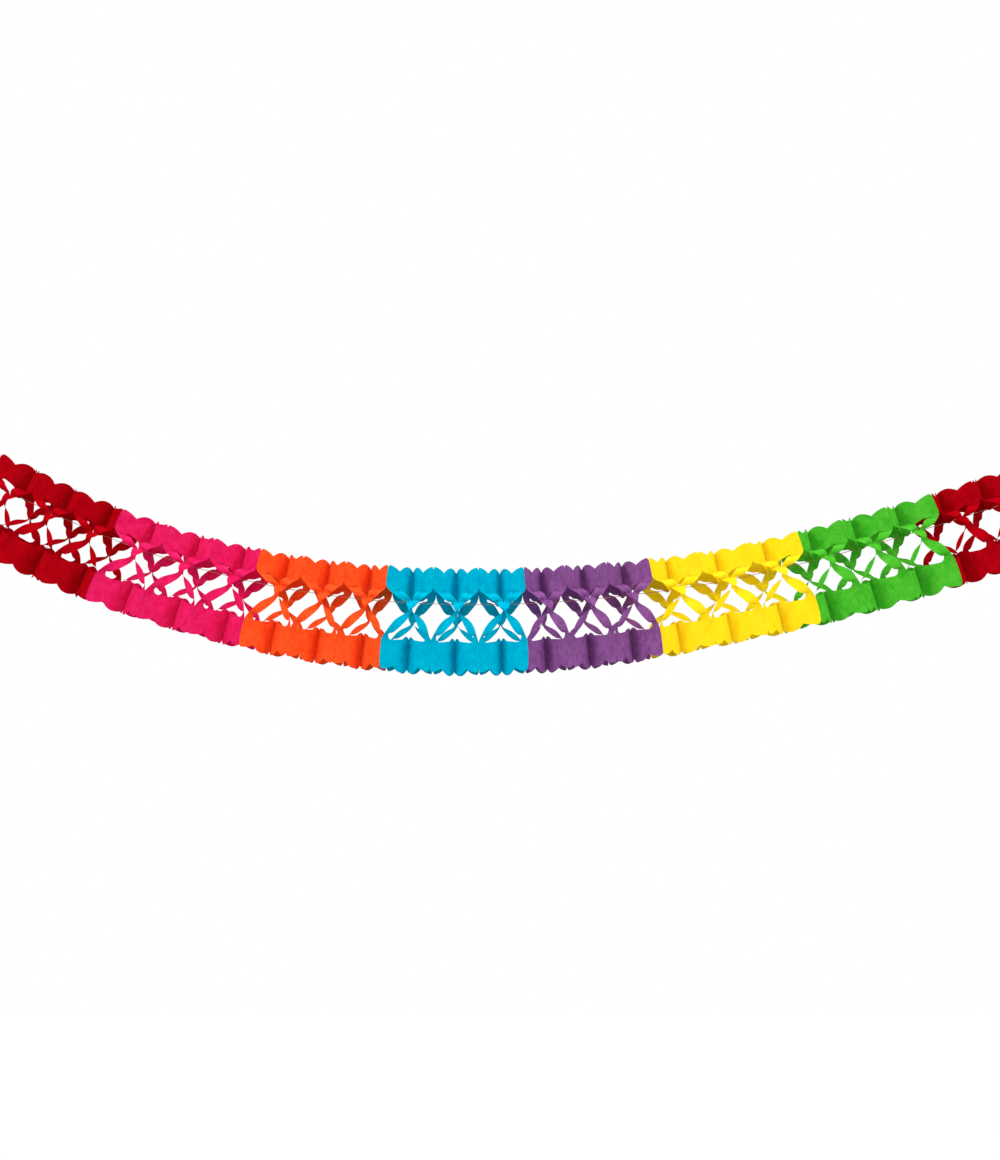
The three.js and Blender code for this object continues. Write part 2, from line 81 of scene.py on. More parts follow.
# Glue spots and the pull on the sheet.
PITCH = 68.0  # two sheets, as the form is relaxed
HALF_PITCH = PITCH / 2
WAIST_GLUE = (10.0, 3.6)  # glued height of a waist, up and down
WAIST_RAISED = 7.5  # waist above the garland's axis
WAIST_AT = 54.0  # inner edge of a waist from the crease
SPLAY = (85.0, 20.0)  # degrees that a waist turns out, at its upper and at its lower end
SPLAY_OVER = (-7.0, 2.0)  # between these heights on the flat sheet
LOBE_GLUE_UP = (34.0, 46.0)  # glued height on an upper lobe, from the opening's edge
LOBE_GLUE_DOWN = (2.0, 38.0)  # and on a lower one
FREE_CREASE = 12.0  # unglued outer end of the crease
UPPER_BAND_AT = 26.5  # opening's edges from the garland's axis, at the crease
LOWER_BAND_AT = 29.5
STRIP_RUN = 8.0  # the first guess takes a strip on into its band so far
BAND_BLEND = 37.0  # and the band's edge moves with it from this depth
PLAN_BOW = 1.8  # the plan of a band starts out as a curve of this power
CREASE_LEAST = 0.3  # least slope of the paper away from a crease
CREASE_REACH = 18.0  # over this width
CREASE_ENDS = 15.0  # but not so near to the opening's side
CREASE_MOST = 0.35  # most slope at a crease, which grows by CREASE_GROWS for each mm
CREASE_GROWS = 0.01
CREASE_HOLDS = 25.0  # over this width
LEAF_OPENS = 0.45  # least slope of an upper strip away from its waist's glue
LEAF_REACH = 22.0  # over this height
WAIST_MARGIN = 3.0  # glued nodes may be so far inside a strip's inner edge
CELL = 3.5  # spacing of the lattice
STEPS = 2500
STIFFNESS = 0.01  # against bending
DAMPING = 0.9
NEARLY = 0.1  # tolerance by which a node is on an edge
MARGIN = 3  # cells by which the lattice is carried on beyond the paper

# The garland: each section's name, pitch and height against the relaxed form.
SECTIONS = (
    ("left_red", 69.5, 0.95),
    ("pink", 74.5, 0.94),
    ("orange", 65.5, 0.98),
    ("blue", 68.0, 1.01),
    ("purple", 63.0, 0.98),
    ("yellow", 76.0, 0.9),
    ("green", 70.0, 0.93),
    ("right_red", 66.0, 0.93),
)
REPEATS = 3  # pitches to a colour
MIDDLE_BORDER = 4  # the border next to the lowest point
LOWEST_TO_BORDER = 75.0  # along the garland
HALF_SPAN = 750.0  # over which the sag is given
SAG = 166.0  # of the axis over the half span
SAG_SKEW = 0.177  # share by which the left side rises more, and the right side less
BORDER_CURL = 2.0  # how far a section's end lobes curl over the next colour
TURN = 25.0  # degrees that a waist is turned in plan
TURN_FROM = 41.0  # along the garland, where the turn changes sides
TURN_WITHIN = 55.0  # the turn is full so far from there
TURN_HEIGHT = 45.0  # height over which a turn dies out
WAIST_LIFT = 6.0  # front waists are so much higher, and back waists lower
WAIST_LEAN = 4.0  # front waists are so far to the right
FRONT_LEAN = 2.2  # and all of the front edge besides
WAIST_RAMP = (15.0, 20.0)  # turn and lift grow from this depth, over so much
CURL_DEPTH = (35.0, 25.0)  # and the curl of the lobes so
CURL_HEIGHT = (48.0, 32.0)  # where the curl is most, and how far it reaches
STRIP_TWIST = 46.0  # degrees that a lower strip turns on its way from waist to band
GLUE_CLEAR = 0.002  # between a sheet and the plane of its glue

# The thread.
THREAD_RADIUS = 0.45
THREAD_GAP = 0.35  # below the crease that rests on it
THREAD_LEAD = 70.0  # last sheet to loop
LOOP_RADIUS = 7.0
THREAD_SIDES = 8
PLY_TURN = 2.5  # length in which the plies turn once

# The camera is in front of the garland's lowest stretch and a little below it.
CAMERA_ACROSS = 40.0
CAMERA_DISTANCE = 1725.0
CAMERA_RISE = 4.5  # degrees that its line to the axis rises
CAMERA_TILT = 2.09  # degrees that it looks higher than that
FILM = 36.0
LENS = 35.69

WHITE = (1.0, 1.0, 1.0, 1.0)


def opening(v):
    return np.where(v < 0, OPENING_UP, OPENING_DOWN)


def flare(u, v):
    t = np.clip((u - FLARE_FROM) / (OPENING_HALF - OPENING_CORNER - FLARE_FROM), 0, 1)
    return np.where(v < 0, *OPENING_FLARE) * (t + t * t * (3 - 2 * t)) / 2


def inner_edge(u, v):
    """The opening's edge over its height at the crease."""
    off = (u - TAB_AT) / TAB_AT
    tab = TAB * np.maximum(0, 1 - off * off)
    c = np.clip(u - OPENING_HALF + OPENING_CORNER, 0, OPENING_CORNER)
    return flare(u, v) - tab - OPENING_CORNER + np.sqrt(OPENING_CORNER**2 - c * c)


def outer_edge(u):
    """The scalloped outer edge over the opening's height at the crease."""
    off = np.abs(u / (NOTCH_AT / 2) - 1)
    scallop = BAND - np.where(u > NOTCH_AT / 2, NOTCH, SCALLOP) * off**2.2
    t = np.clip((u - NOTCH_AT) / (HALF_DEPTH - NOTCH_AT) / LOBE_RISE, 0, 1)
    c = np.clip(u - HALF_DEPTH + LOBE_CORNER, 0, LOBE_CORNER)
    lobe = BAND - NOTCH + (NOTCH - LOBE_DROP) * np.sin(t * math.pi / 2) ** 0.8
    lobe = lobe - LOBE_CORNER + np.sqrt(LOBE_CORNER**2 - c * c)
    return np.where(u < NOTCH_AT, scallop, lobe)


def strip(v):
    """Inner and outer edge of a side strip."""
    s = 0.5 + 0.5 * np.cos(math.pi * np.clip(np.abs(v) / SHOULDER, 0, 1))
    waist = HALF_DEPTH - WAIST_INSET - WAIST
    return OPENING_HALF + (waist - OPENING_HALF) * s, HALF_DEPTH - WAIST_INSET * s


def is_paper(u, v):
    above = np.abs(v) - opening(v)
    inner, outer = strip(v)
    band = (above >= inner_edge(u, v)) & (above <= outer_edge(u)) & (u <= outer)
    side = ((u >= inner) & (u <= outer)) | ((above >= inner_edge(u, v)) & (u < inner))
    return np.where(above < np.where(v < 0, *OPENING_FLARE) - OPENING_CORNER, side, band)


def plan(u):
    """How far in front of the crease the paper is, where it starts out bowed in plan."""
    steps = 400
    share = np.arange(steps + 1) / steps
    slope = HALF_PITCH / HALF_DEPTH * PLAN_BOW * share ** (PLAN_BOW - 1)
    step = np.sqrt(np.clip(1 - slope * slope, 0.02, 1)) * HALF_DEPTH / steps
    return np.interp(u, share * HALF_DEPTH, np.concatenate([[0], np.cumsum(step[1:])]))


def first_guess(u, v):
    """Upright bands, bowed in plan, with strips that run straight to the waist."""
    side = np.where(v < 0, 1.0, -1.0)
    up = np.abs(v)
    edge = opening(v)
    glue = np.where(v < 0, *WAIST_GLUE)
    at = np.where(v < 0, UPPER_BAND_AT, LOWER_BAND_AT)
    join = edge + np.where(v < 0, *OPENING_FLARE)
    on_strip = u > OPENING_HALF - CELL
    share = np.where(on_strip, np.clip((up - glue) / (join - glue), 0, 1), 1)
    x = HALF_PITCH * (u / HALF_DEPTH) ** PLAN_BOW * share
    y = -plan(u) * share - (1 - share) * (WAIST_AT + (u - OPENING_HALF) / 2)
    plate = side * (at + up - edge)
    end = join + STRIP_RUN
    climb = np.clip((up - glue) / (end - glue), 0, 1)
    waist = WAIST_RAISED + side * np.minimum(up, glue)
    run = waist + (side * (at + end - edge - glue) - WAIST_RAISED) * climb
    run = np.where(up > end, plate, run)
    blend = np.clip((u - BAND_BLEND) / (OPENING_HALF - BAND_BLEND), 0, 1)
    near = np.where(up < edge + inner_edge(u, v), on_strip * 1.0, blend)
    return np.stack([x, y, plate + (run - plate) * near], -1)


def lattice():
    """A square lattice over the front half of a flat sheet, and which of its nodes are on paper."""
    top, bottom = OPENING_UP + BAND, OPENING_DOWN + BAND
    us = np.linspace(0, HALF_DEPTH, round(HALF_DEPTH / CELL) + 1)
    vs = np.linspace(-top, bottom, round((top + bottom) / CELL) + 1)
    grid_u, grid_v = np.meshgrid(us, vs, indexing="ij")
    kept = np.zeros(grid_u.shape, bool)
    for a in (-0.5, 0, 0.5):
        for b in (-0.5, 0, 0.5):
            near_u = np.clip(grid_u + a * us[1], 0, HALF_DEPTH)
            near_v = np.clip(grid_v + b * (vs[1] - vs[0]), -top, bottom)
            kept |= is_paper(near_u, near_v)
    return us, vs, kept


def links_and_folds(us, vs, kept):
    """Pairs of nodes that keep their distance, and threes in a line that resist bending.

    No node is in two links or two folds of one group, so a group can be moved at once.
    """
    du, dv = us[1], vs[1] - vs[0]
    columns, rows = kept.shape
    on = kept.ravel()
    index = np.arange(on.size).reshape(kept.shape)
    column, row = np.meshgrid(range(columns), range(rows), indexing="ij")
    links, folds = [], []
    for a, b in ((1, 0), (0, 1), (1, 1), (1, -1)):
        line = column if a else row
        first = np.s_[: columns - a, max(0, -b) : rows - max(0, b)]
        start, end = index[first], index[a:, max(0, b) : rows + min(0, b)]
        for turn in range(2):
            pick = on[start] & on[end] & (line[first] % 2 == turn)
            links.append((start[pick], end[pick], math.hypot(a * du, b * dv)))
        middle = np.s_[a : columns - a, abs(b) : rows - abs(b)]
        mid, step = index[middle], a * rows + b
        for turn in range(3):
            pick = on[mid] & on[mid - step] & on[mid + step] & (line[middle] % 3 == turn)
            folds.append((mid[pick] - step, mid[pick], mid[pick] + step))
    return links, folds


def held_waist(u, v):
    """Where the glue holds a waist."""
    splay = np.radians(np.interp(v, SPLAY_OVER, SPLAY))
    out = u - (HALF_DEPTH - WAIST_INSET - WAIST)
    return np.stack([out * np.sin(splay), -WAIST_AT - out * np.cos(splay), WAIST_RAISED - v], -1)


def side_limits(u, v, above):
    """The least and the most that the paper may be to the side of its crease."""
    near_crease = u < OPENING_HALF - CREASE_ENDS
    least = np.where(near_crease, CREASE_LEAST * np.minimum(u, CREASE_REACH), 0)
    leaf = LEAF_OPENS * np.clip(-v - WAIST_GLUE[0], 0, LEAF_REACH)
    least = np.where((u > OPENING_HALF - CELL) & (v < 0), np.maximum(least, leaf), least)
    stiff = (u < CREASE_HOLDS) & (above > -CELL)
    most = np.where(stiff, u * (CREASE_MOST + CREASE_GROWS * u), HALF_PITCH)
    return least, np.maximum(least, np.minimum(HALF_PITCH, most))


def relax_sheet():
    """The front half of a sheet on a square lattice, relaxed until the paper keeps its lengths."""
    us, vs, kept = lattice()
    links, folds = links_and_folds(us, vs, kept)
    u, v = (side.ravel() for side in np.meshgrid(us, vs, indexing="ij"))
    on = kept.ravel()
    above = np.abs(v) - opening(v)
    crease = on & (u < NEARLY)
    pinched = crease & (above < BAND - FREE_CREASE)
    reach = np.where((v < 0)[:, None], LOBE_GLUE_UP, LOBE_GLUE_DOWN)
    glued = on & (u > HALF_DEPTH - NEARLY) & (above > reach[:, 0]) & (above < reach[:, 1])
    waist = on & (v >= -WAIST_GLUE[0]) & (v <= WAIST_GLUE[1])
    waist &= u > OPENING_HALF - WAIST_MARGIN - CELL
    held = held_waist(u, v)
    least, most = side_limits(u, v, above)
    place = first_guess(u, v)
    crease_z = place[crease, 2].copy()
    speed = np.zeros_like(place)
    for _ in range(STEPS):
        before = place.copy()
        place = place + speed * DAMPING
        for a, b, c in folds:
            bend = ((place[a] + place[c]) / 2 - place[b]) * STIFFNESS
            place[b] += bend
            place[a] -= bend / 2
            place[c] -= bend / 2
        for a, b, length in links:
            gap = place[b] - place[a]
            now = np.sqrt((gap * gap).sum(1)) + 1e-12
            part = gap * ((now - length) / now / 2)[:, None]
            place[a] += part
            place[b] -= part
        place[:, 0] = np.clip(place[:, 0], least, most)
        place[pinched, 0] = 0
        place[glued, 0] = HALF_PITCH
        place[crease, 1] = 0
        place[crease, 2] = crease_z
        place[waist] = held[waist]
        place[on, 1] = np.minimum(place[on, 1], 0)
        speed = place - before
    return place.reshape(*kept.shape, 3), kept, us, vs


def carry_on(place, kept):
    """The lattice with a margin, filled in straight lines on from the paper."""
    field = np.zeros((place.shape[0] + 2 * MARGIN, place.shape[1] + 2 * MARGIN, 3))
    known = np.zeros(field.shape[:2], bool)
    field[MARGIN:-MARGIN, MARGIN:-MARGIN] = place
    known[MARGIN:-MARGIN, MARGIN:-MARGIN] = kept
    for _ in range(MARGIN + 1):
        total = np.zeros_like(field)
        count = np.zeros(known.shape)
        for step in ((1, 0), (-1, 0), (0, 1), (0, -1)):
            twice = (2 * step[0], 2 * step[1])
            near, far = np.roll(field, step, (0, 1)), np.roll(field, twice, (0, 1))
            good = np.roll(known, step, (0, 1)) & np.roll(known, twice, (0, 1)) & ~known
            total[good] += (2 * near - far)[good]
            count[good] += 1
        new = count > 0
        field[new] = total[new] / count[new][:, None]
        known |= new
    return field


def on_sheet(form, u, v):
    """Points of the relaxed paper, smooth between the lattice's nodes."""
    field, us, vs = form
    i = u / us[1] + MARGIN
    j = (v - vs[0]) / (vs[1] - vs[0]) + MARGIN
    i0 = np.clip(np.floor(i).astype(int), 1, field.shape[0] - 3)
    j0 = np.clip(np.floor(j).astype(int), 1, field.shape[1] - 3)

    def weights(t):
        return (
            ((2 - t) * t - 1) * t / 2,
            ((3 * t - 5) * t * t + 2) / 2,
            ((4 - 3 * t) * t + 1) * t / 2,
            (t - 1) * t * t / 2,
        )

    point = np.zeros((len(u), 3))
    for a, wa in enumerate(weights(i - i0)):
        for b, wb in enumerate(weights(j - j0)):
            point += field[i0 + a - 1, j0 + b - 1] * (wa * wb)[:, None]
    return point


def face_forward(form, flat, points):
    """Lower strips turned about their length between waist and band, flat side to the front."""
    u, v = flat.T
    start, end = WAIST_GLUE[1], OPENING_DOWN + OPENING_FLARE[1] - OPENING_CORNER
    share = np.clip((v - start) / (end - start), 0, 1)
    inner, outer = strip(v)
    line = inner + (outer - inner) * share
    pivot = on_sheet(form, line, v)
    axis = on_sheet(form, line, v + 1) - on_sheet(form, line, v - 1)
    axis = axis / np.linalg.norm(axis, axis=1)[:, None]
    swell = np.sin(math.pi * share**1.25) ** 0.7 * (u > inner - 0.01)
    angle = -math.radians(STRIP_TWIST) * swell[:, None]
    arm = points - pivot
    along = axis * (axis * arm).sum(1)[:, None]
    turned = along + (arm - along) * np.cos(angle) + np.cross(axis, arm) * np.sin(angle)
    turned = pivot + turned
    turned[:, 0] = np.clip(turned[:, 0], 0, HALF_PITCH)
    return np.where(angle != 0, turned, points)


def flat_mesh():
    """The front half of a flat sheet as quads that follow its edges."""
    columns, corner, across, rows, along = 34, 7, 8, 26, 64
    levels = [taller - OPENING_CORNER for taller in OPENING_FLARE]
    straight = np.linspace(0, OPENING_HALF - OPENING_CORNER, columns)[:-1]
    bend = OPENING_HALF - OPENING_CORNER
    bend = bend + OPENING_CORNER * np.sin(np.linspace(0, math.pi / 2, corner))
    strip_share = np.linspace(0, 1, across)
    beside = OPENING_HALF + (HALF_DEPTH - OPENING_HALF) * strip_share[1:]
    us = np.concatenate([straight, bend, beside])
    high = outer_edge(us)
    points, quads = [], []

    def grid(u, v):
        start = sum(len(p) for p in points)
        points.append(np.stack([u.ravel(), v.ravel()], -1))
        k = start + np.arange(u.size).reshape(u.shape)
        quads.append(np.stack([k[:-1, :-1], k[1:, :-1], k[1:, 1:], k[:-1, 1:]], -1).reshape(-1, 4))

    share = np.linspace(0, 1, rows)
    for side, edge, level in ((-1, OPENING_UP, levels[0]), (1, OPENING_DOWN, levels[1])):
        low = np.where(us <= OPENING_HALF + 1e-9, inner_edge(us, side), level)
        v = side * (edge + low[:, None] + (high - low)[:, None] * share)
        u = np.repeat(us[:, None], rows, 1)
        if side < 0:
            u, v = u[:, ::-1], v[:, ::-1]
        grid(u, v)
    v = np.linspace(-OPENING_UP - levels[0], OPENING_DOWN + levels[1], along)
    v = np.repeat(v[:, None], across, 1)
    inner, outer = strip(v[:, 0])
    grid((inner[:, None] + (outer - inner)[:, None] * strip_share).T, v.T)
    points, quads = np.concatenate(points), np.concatenate(quads)
    _, first, same = np.unique(points.round(5), axis=0, return_index=True, return_inverse=True)
    return points[first], same.ravel()[quads]


def height(x):
    return SAG * (x / HALF_SPAN) ** 2 * (1 - SAG_SKEW * x / HALF_SPAN)


def slope(x):
    return SAG * x * (2 - 3 * SAG_SKEW * x / HALF_SPAN) / HALF_SPAN**2


def hanging_axis():
    """The x of a point of the axis from its length along it."""
    reach, step = 1600.0, 2.0
    x = np.arange(0, reach, step)
    right, left = (np.cumsum(np.hypot(step, np.diff(height(x * side)))) for side in (1, -1))
    right, left = np.concatenate([[0], right]), np.concatenate([[0], left])
    return lambda s: np.where(s < 0, -np.interp(-s, left, x), np.interp(s, right, x))


AXIS = hanging_axis()
LENGTHS = [pitch * REPEATS for _, pitch, _ in SECTIONS]
START = LOWEST_TO_BORDER - sum(LENGTHS[:MIDDLE_BORDER])
BORDERS = [START + sum(LENGTHS[: k + 1]) for k in range(len(LENGTHS) - 1)]
MIDDLES = [START + sum(LENGTHS[:k]) + LENGTHS[k] / 2 for k in range(len(LENGTHS))]


def hang(s, y, z, crease=0.0, pitch=math.inf):
    """From the straight garland to the hanging one.

    Each waist is turned in plan, towards the lowest point, and lifted in front. The end lobes of a
    section curl outwards over the next colour.
    """
    ahead = np.where(y < 0, 1, -1)
    depth = np.abs(y)
    ramp = np.clip((depth - WAIST_RAMP[0]) / WAIST_RAMP[1], 0, 1)
    near = np.maximum(0, 1 - ((z - WAIST_RAISED) / TURN_HEIGHT) ** 2) ** 2
    near = near * ramp**2 * (3 - 2 * ramp)
    across, out = s - crease, depth - WAIST_AT - WAIST / 2
    most = math.radians(TURN * min(1, max(-1, (TURN_FROM - crease) / TURN_WITHIN)))
    turn = most * near * (1 - (across / (pitch / 2)) ** 2) ** 2
    shift = across * (np.cos(turn) - 1) - out * np.sin(turn)
    depth = depth + across * np.sin(turn) + out * (np.cos(turn) - 1)
    shift = shift + (WAIST_LEAN * near + FRONT_LEAN * (y / HALF_DEPTH) ** 2) * (ahead > 0)
    for border in BORDERS:
        close = np.maximum(0, 1 - ((s - border) / PITCH) ** 2 * 3)
        lobe = np.clip((np.abs(y) - CURL_DEPTH[0]) / CURL_DEPTH[1], 0, 1)
        outer = np.maximum(0, 1 - ((np.abs(z) - CURL_HEIGHT[0]) / CURL_HEIGHT[1]) ** 2)
        shift = shift + np.sign(border) * BORDER_CURL * close * close * lobe * outer
    x = AXIS(s)
    rise = slope(x)
    run = np.hypot(1, rise)
    along = np.stack([1 / run, 0 * x, rise / run], -1)
    up = np.stack([-rise / run, 0 * x, 1 / run], -1)
    line = np.stack([x, -ahead * depth, height(x)], -1)
    tall = z + ahead * WAIST_LIFT * near
    tall = tall * np.interp(s, MIDDLES, [share for _, _, share in SECTIONS])
    return line + along * shift[:, None] + up * tall[:, None]


THREAD_LEVEL = UPPER_BAND_AT - THREAD_GAP - THREAD_RADIUS


def thread_path():
    """Points of the thread, from the left loop to the right one."""
    creases, s = [], START
    for _, pitch, _ in SECTIONS:
        creases += [s + pitch * (k + 0.5) for k in range(REPEATS)]
        s += pitch * REPEATS
    turns = np.radians([0, 40, 80, 120, 160, 200, 240, 280, 318])

    def loop(end, sign):
        along = end + sign * (THREAD_LEAD + LOOP_RADIUS * (1 - np.cos(turns)))
        return along, THREAD_LEVEL + LOOP_RADIUS * np.sin(turns)

    left, right = loop(START, -1), loop(s, 1)
    along = np.concatenate([left[0][::-1], creases, right[0]])
    level = np.concatenate([left[1][::-1], np.full(len(creases), THREAD_LEVEL), right[1]])
    return hang(along, np.zeros_like(along), level)


PATH = thread_path()
# the middle of the left loop, where a hook goes through
HOME = hang(np.array([START - THREAD_LEAD - LOOP_RADIUS]), np.zeros(1), np.array([THREAD_LEVEL]))[0]


def in_frame(points):
    return (points - HOME) / 1000


def add_camera():
    data = bpy.data.cameras.new("camera")
    camera = bpy.data.objects.new("camera", data)
    bpy.context.scene.collection.objects.link(camera)
    rise = math.radians(CAMERA_RISE)
    away = np.array([0, -math.cos(rise), -math.sin(rise)])
    camera.location = in_frame(np.array([CAMERA_ACROSS, 0, 0]) + CAMERA_DISTANCE * away)
    camera.rotation_euler = (math.radians(90 + CAMERA_RISE + CAMERA_TILT), 0, 0)
    data.sensor_fit = "VERTICAL"
    data.sensor_width = data.sensor_height = FILM
    data.lens = LENS
    data.clip_start, data.clip_end = 0.05, 20
    bpy.context.scene.camera = camera


def srgb(red, green, blue):
    def linear(c):
        c = c / 255
        return c / 12.92 if c <= 0.04045 else ((c + 0.055) / 1.055) ** 2.4

    return (linear(red), linear(green), linear(blue), 1.0)


class Nodes:
    """A small helper to wire the nodes of a material or a world."""

    def __init__(self, owner):
        owner.use_nodes = True
        self.tree = owner.node_tree
        self.tree.nodes.clear()

    def add(self, kind, values=None, **settings):
        node = self.tree.nodes.new(kind)
        for key, value in settings.items():
            setattr(node, key, value)
        for key, value in (values or {}).items():
            if isinstance(value, bpy.types.NodeSocket):
                self.tree.links.new(value, node.inputs[key])
            else:
                node.inputs[key].default_value = value
        return node

    def blend(self, share, first, second):
        """A colour between two. Its sockets go by place, because each type repeats their names."""
        mix = self.add("ShaderNodeMix", {0: share, 6: first, 7: second}, data_type="RGBA")
        return mix.outputs[2]


def tissue(name, light, dark):
    """Thin coloured tissue: matt, faintly fibrous and crinkled, with some light through it."""
    material = bpy.data.materials.new(name)
    n = Nodes(material)
    cut = n.add("ShaderNodeAttribute", attribute_name="cut").outputs["Vector"]
    cloud = n.add(
        "ShaderNodeTexNoise",
        {"Vector": cut, "Scale": 90.0, "Detail": 4.0, "Roughness": 0.65},
    ).outputs["Fac"]
    stretch = n.add("ShaderNodeMapping", {"Vector": cut, "Scale": (260.0, 1100.0, 300.0)})
    fibre = n.add(
        "ShaderNodeTexNoise",
        {"Vector": stretch.outputs[0], "Scale": 1.0, "Detail": 2.0},
    ).outputs["Fac"]
    mixed = n.add("ShaderNodeMath", {0: cloud, 1: fibre}, operation="ADD")
    share = n.add(
        "ShaderNodeMapRange",
        {"Value": mixed.outputs[0], "From Min": 0.68, "From Max": 1.32},
    )
    tint = n.blend(share.outputs[0], dark, light)
    crinkle = n.add(
        "ShaderNodeTexNoise",
        {"Vector": cut, "Scale": 130.0, "Detail": 4.0, "Roughness": 0.6},
    ).outputs["Fac"]
    relief = n.add("ShaderNodeMath", {0: fibre, 1: fibre, 2: crinkle}, operation="MULTIPLY_ADD")
    bump = n.add(
        "ShaderNodeBump",
        {"Height": relief.outputs[0], "Strength": 0.35, "Distance": 0.0012},
    ).outputs[0]
    face = n.add(
        "ShaderNodeBsdfPrincipled",
        {"Base Color": tint, "Roughness": 0.9, "Specular IOR Level": 0.0, "Normal": bump},
    )
    through = n.add("ShaderNodeBsdfTranslucent", {"Color": tint, "Normal": bump})
    both = n.add("ShaderNodeMixShader", {0: 0.16, 1: face.outputs[0], 2: through.outputs[0]})
    n.add("ShaderNodeOutputMaterial", {"Surface": both.outputs[0]})
    return material


def cotton():
    """Two plies of cotton, told by a twist that runs along the thread, with painted shade: the
    colour is darker in the grooves between the plies and lighter on their crowns.
    """
    material = bpy.data.materials.new("cotton_thread")
    n = Nodes(material)
    twist = n.add("ShaderNodeAttribute", attribute_name="twist").outputs["Vector"]
    parts = n.add("ShaderNodeSeparateXYZ", {0: twist})
    turn = n.add("ShaderNodeMath", {0: parts.outputs[0], 1: parts.outputs[1]}, operation="ADD")
    ply = n.add("ShaderNodeMath", {0: turn.outputs[0]}, operation="SINE")
    fuzz = n.add("ShaderNodeTexNoise", {"Scale": 2500.0, "Detail": 2.0})
    share = n.add(
        "ShaderNodeMapRange",
        {"Value": ply.outputs[0], "From Min": -1.0, "From Max": 1.0},
    ).outputs[0]
    relief = n.add(
        "ShaderNodeMath",
        {0: fuzz.outputs["Fac"], 1: 0.4, 2: share},
        operation="MULTIPLY_ADD",
    )
    bump = n.add(
        "ShaderNodeBump",
        {"Height": relief.outputs[0], "Strength": 0.8, "Distance": 0.0002},
    )
    # painted shade: the base colour goes from the dark tint in the grooves between the plies to the
    # light tint on their crowns, following the bump
    face = n.add(
        "ShaderNodeBsdfPrincipled",
        {
            "Base Color": n.blend(share, srgb(158, 96, 78), srgb(198, 132, 110)),
            "Roughness": 0.8,
            "Sheen Weight": 0.3,
            "Normal": bump.outputs[0],
        },
    )
    n.add("ShaderNodeOutputMaterial", {"Surface": face.outputs[0]})
    return material


# Light and dark tint of each tissue.
TINTS = {
    "red": (srgb(194, 6, 24), srgb(156, 0, 10)),
    "pink": (srgb(238, 46, 114), srgb(212, 4, 80)),
    "orange": (srgb(255, 104, 46), srgb(240, 66, 20)),
    "blue": (srgb(0, 198, 222), srgb(0, 158, 196)),
    "purple": (srgb(158, 100, 164), srgb(114, 60, 124)),
    "yellow": (srgb(254, 230, 46), srgb(249, 214, 0)),
    "green": (srgb(104, 202, 64), srgb(36, 172, 24)),
}


def add_object(name, points, faces, material, attribute, values):
    mesh = bpy.data.meshes.new(name)
    mesh.from_pydata(points.tolist(), [], faces)
    mesh.materials.append(material)
    mesh.polygons.foreach_set("use_smooth", [True] * len(mesh.polygons))
    layer = mesh.attributes.new(attribute, "FLOAT_VECTOR", "POINT")
    layer.data.foreach_set("vector", values.ravel())
    piece = bpy.data.objects.new(name, mesh)
    bpy.context.scene.collection.objects.link(piece)
    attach(piece, "root")
    return piece


def add_thread():
    """A round thread along the path, with its loops."""
    points, values = [], []
    gone = np.concatenate([[0], np.cumsum(np.linalg.norm(np.diff(PATH, axis=0), axis=1))])
    last = len(PATH) - 1
    across = np.array([0.0, 1.0, 0.0])
    for k, place in enumerate(PATH):
        ahead = PATH[min(k + 1, last)] - PATH[max(k - 1, 0)]
        ahead = ahead / np.linalg.norm(ahead)
        up = np.cross(ahead, across)
        for side in range(THREAD_SIDES):
            angle = side * 2 * math.pi / THREAD_SIDES
            out = across * math.cos(angle) + up * math.sin(angle)
            points.append(place + THREAD_RADIUS * out)
            values.append((2 * angle, gone[k] * 2 * math.pi / PLY_TURN, 0.0))
    faces = []
    for k in range(last):
        for side in range(THREAD_SIDES):
            a = k * THREAD_SIDES + side
            b = k * THREAD_SIDES + (side + 1) % THREAD_SIDES
            faces.append((a, a + THREAD_SIDES, b + THREAD_SIDES, b))
    faces.append(tuple(range(THREAD_SIDES)))
    faces.append(tuple(last * THREAD_SIDES + side for side in reversed(range(THREAD_SIDES))))
    points = in_frame(np.array(points))
    thread = add_object("thread", points, faces, cotton(), "twist", np.array(values))
    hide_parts("hanging_thread")
    return thread


def whole_sheet():
    """Points and faces of the relaxed sheet, its flat pattern, the crease's edges and the area."""
    place, kept, us, vs = relax_sheet()
    form = (carry_on(place, kept), us, vs)
    flat, quads = flat_mesh()
    front = face_forward(form, flat, on_sheet(form, *flat.T))
    free = flat[:, 0] > 0
    copy = np.where(free, len(flat) + np.cumsum(free) - 1, np.arange(len(flat)))
    faces = np.concatenate([quads, copy[quads][:, ::-1]])
    edges = (edge for quad in quads for edge in zip(quad, np.roll(quad, -1)))
    crease = {tuple(sorted(edge)) for edge in edges if not free[list(edge)].any()}
    points = np.concatenate([front, front[free] * (1, -1, 1)])
    pattern = np.concatenate([flat, flat[free] * (-1, 1)])
    a, b, c, d = (flat[quads[:, k]] for k in range(4))
    area = np.abs(np.cross(c - a, d - b)).sum() / 1e6
    return points, faces, pattern, crease, area


def sharpen(mesh, crease):
    """Marks the fold, so that the paper isn't shaded smooth across it."""
    ends = np.zeros(2 * len(mesh.edges), int)
    mesh.edges.foreach_get("vertices", ends)
    fold = [tuple(sorted(edge)) in crease for edge in ends.reshape(-1, 2).tolist()]
    mesh.attributes.new("sharp_edge", "BOOLEAN", "EDGE").data.foreach_set("value", fold)


